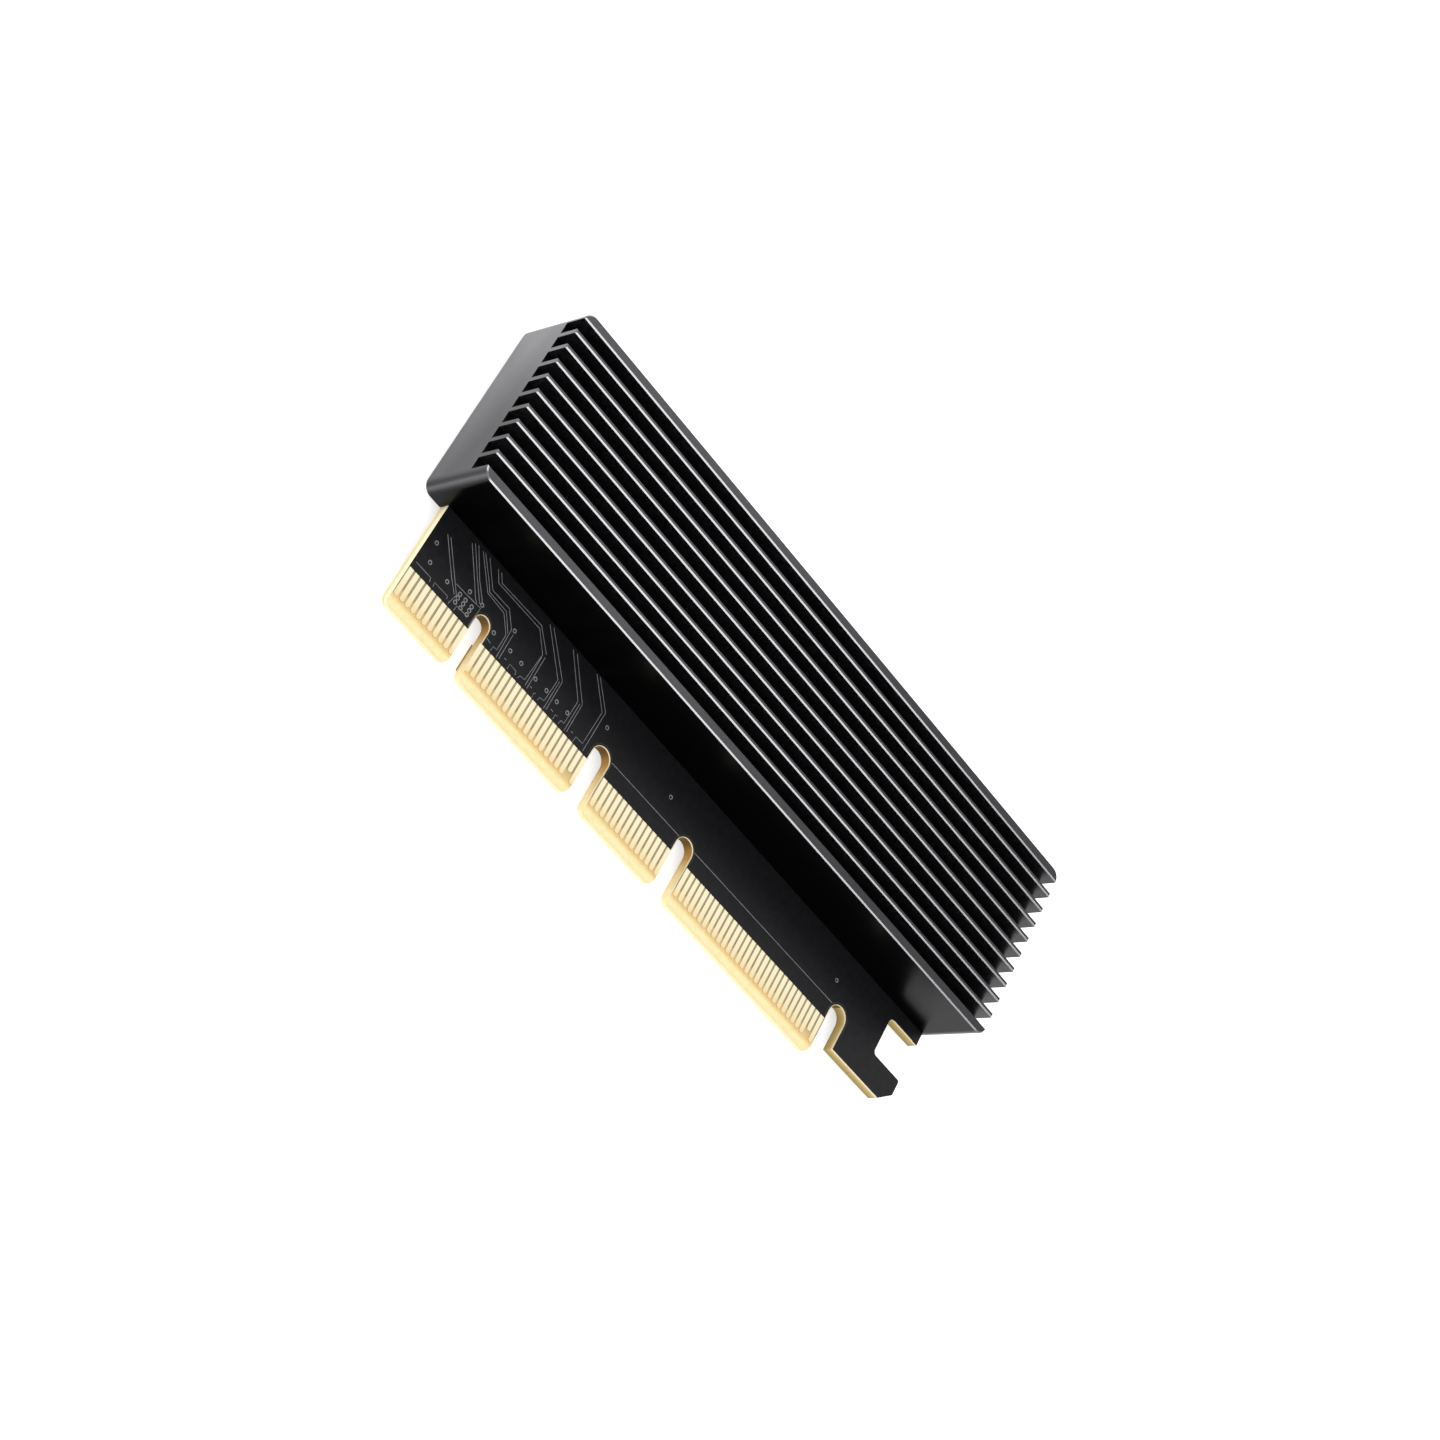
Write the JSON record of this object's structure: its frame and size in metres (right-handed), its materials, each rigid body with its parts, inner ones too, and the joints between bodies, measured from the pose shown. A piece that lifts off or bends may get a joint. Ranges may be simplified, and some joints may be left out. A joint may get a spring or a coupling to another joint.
{
  "type": "nvme adapter card",
  "caption": "Black adapter card that carries one M.2 solid-state drive under a finned aluminium cover and plugs into a long server card slot by its gold edge connector.",
  "frame": {"origin": "bottom centre of the bounding box, under the card as it lies on its screw heads", "axes": "+X along the card from its first contact to the hook, +Y from the edge connector to the far side, +Z from the back of the board to the fin tips"},
  "size_m": [0.1044, 0.0426, 0.0124],
  "materials": {
    "solder_mask": "satin",
    "gold_plating": "polished",
    "anodised_aluminium": "matte anodised",
    "blackened_steel": "blackened",
    "thermal_pad": "matte",
    "black_nylon": "matte",
    "tin_plating": "satin",
    "brass": "satin",
    "ceramic": "matte",
    "resistor_glaze": "gloss",
    "moulded_epoxy": "matte"
  },
  "bodies": {
    "root": {"circuit_board": "solder_mask", "edge_contacts_front": "gold_plating", "edge_contacts_back": "gold_plating", "standoff_hole_lands": "gold_plating", "heatsink_cover": "anodised_aluminium", "cover_screws": "blackened_steel", "thermal_pad": "thermal_pad", "socket_housing": "black_nylon", "socket_upper_contacts": "gold_plating", "socket_lower_contacts": "gold_plating", "socket_hold_down_tabs": "tin_plating", "drive_standoff": "brass", "standoff_nut": "brass", "drive_screw": "blackened_steel", "ceramic_capacitors": "ceramic", "ceramic_capacitor_ends": "tin_plating", "chip_resistors": "resistor_glaze", "chip_resistor_ends": "tin_plating", "bulk_capacitors": "moulded_epoxy", "bulk_capacitor_leads": "tin_plating"}
  },
  "joints": []
}
